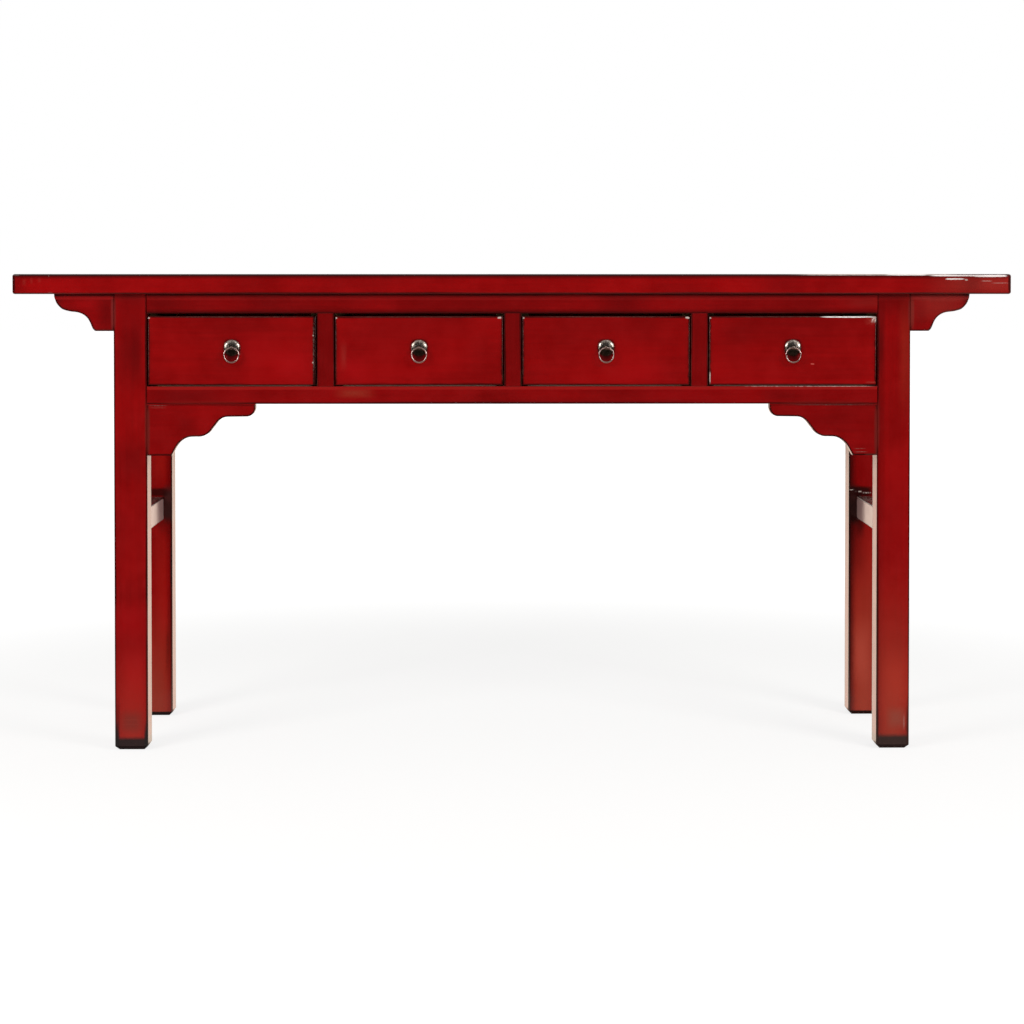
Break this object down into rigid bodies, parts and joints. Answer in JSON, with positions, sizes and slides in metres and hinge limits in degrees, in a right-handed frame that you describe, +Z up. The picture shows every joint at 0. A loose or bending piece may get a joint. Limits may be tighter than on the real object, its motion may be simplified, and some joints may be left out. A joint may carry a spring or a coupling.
{
  "type": "altar table",
  "caption": "Long narrow altar table in red lacquer with a row of drawers on ring pulls, ogee brackets under the overhanging top and stepped spandrels at the knee space.",
  "frame": {"origin": "centre of the table's outline on the floor", "axes": "+X along the table to the right, +Y from the drawers to the back, +Z up"},
  "size_m": [1.8, 0.4, 0.8635],
  "materials": {
    "red_lacquer": "worn red lacquer, half gloss, dark at the edges and joints",
    "bare_wood": "bare planed wood",
    "pull_metal": "tarnished white metal, polished by use"
  },
  "bodies": {
    "table": {"top_planks": "red_lacquer", "top_end_left": "red_lacquer", "top_end_right": "red_lacquer", "leg_front_left": "red_lacquer", "leg_front_right": "red_lacquer", "leg_rear_left": "red_lacquer", "leg_rear_right": "red_lacquer", "front_top_rail": "red_lacquer", "front_bottom_rail": "red_lacquer", "rear_top_rail": "red_lacquer", "rear_bottom_rail": "red_lacquer", "side_top_rail_left": "red_lacquer", "side_top_rail_right": "red_lacquer", "side_bottom_rail_left": "red_lacquer", "side_bottom_rail_right": "red_lacquer", "side_stretcher_left": "red_lacquer", "side_stretcher_right": "red_lacquer", "side_panel_left": "red_lacquer", "side_panel_right": "red_lacquer", "rear_panel": "red_lacquer", "drawer_dividers": "red_lacquer", "lower_spandrel_left": "red_lacquer", "lower_spandrel_right": "red_lacquer", "wing_bracket_front_left": "red_lacquer", "wing_bracket_front_right": "red_lacquer", "wing_bracket_rear_left": "red_lacquer", "wing_bracket_rear_right": "red_lacquer", "top_cross_battens": "bare_wood", "drawer_runners": "bare_wood", "drawer_guides": "bare_wood", "drawer_kickers": "bare_wood", "drawer_stops": "bare_wood"},
    "drawer_1": {"drawer_1_front": "red_lacquer", "drawer_1_sides": "bare_wood", "drawer_1_back": "bare_wood", "drawer_1_bottom": "bare_wood", "drawer_1_pull_plate": "pull_metal", "drawer_1_pull_pin": "pull_metal"},
    "ring_1": {"drawer_1_pull_ring": "pull_metal"},
    "drawer_2": {"drawer_2_front": "red_lacquer", "drawer_2_sides": "bare_wood", "drawer_2_back": "bare_wood", "drawer_2_bottom": "bare_wood", "drawer_2_pull_plate": "pull_metal", "drawer_2_pull_pin": "pull_metal"},
    "ring_2": {"drawer_2_pull_ring": "pull_metal"},
    "drawer_3": {"drawer_3_front": "red_lacquer", "drawer_3_sides": "bare_wood", "drawer_3_back": "bare_wood", "drawer_3_bottom": "bare_wood", "drawer_3_pull_plate": "pull_metal", "drawer_3_pull_pin": "pull_metal"},
    "ring_3": {"drawer_3_pull_ring": "pull_metal"},
    "drawer_4": {"drawer_4_front": "red_lacquer", "drawer_4_sides": "bare_wood", "drawer_4_back": "bare_wood", "drawer_4_bottom": "bare_wood", "drawer_4_pull_plate": "pull_metal", "drawer_4_pull_pin": "pull_metal"},
    "ring_4": {"drawer_4_pull_ring": "pull_metal"}
  },
  "joints": [
    {"name": "drawer_1_slide", "type": "slide", "parent": "table", "child": "drawer_1", "axis": [0, -1, 0], "range_m": [0, 0.24]},
    {"name": "ring_1_swing", "type": "hinge", "parent": "drawer_1", "child": "ring_1", "pos_m": [-0.50775, -0.1952, 0.73025], "axis": [-1, 0, 0], "range_deg": [-17, 197]},
    {"name": "drawer_2_slide", "type": "slide", "parent": "table", "child": "drawer_2", "axis": [0, -1, 0], "range_m": [0, 0.24]},
    {"name": "ring_2_swing", "type": "hinge", "parent": "drawer_2", "child": "ring_2", "pos_m": [-0.16925, -0.1952, 0.73025], "axis": [-1, 0, 0], "range_deg": [-17, 197]},
    {"name": "drawer_3_slide", "type": "slide", "parent": "table", "child": "drawer_3", "axis": [0, -1, 0], "range_m": [0, 0.24]},
    {"name": "ring_3_swing", "type": "hinge", "parent": "drawer_3", "child": "ring_3", "pos_m": [0.16925, -0.1952, 0.73025], "axis": [-1, 0, 0], "range_deg": [-17, 197]},
    {"name": "drawer_4_slide", "type": "slide", "parent": "table", "child": "drawer_4", "axis": [0, -1, 0], "range_m": [0, 0.24]},
    {"name": "ring_4_swing", "type": "hinge", "parent": "drawer_4", "child": "ring_4", "pos_m": [0.50775, -0.1952, 0.73025], "axis": [-1, 0, 0], "range_deg": [-17, 197]}
  ]
}
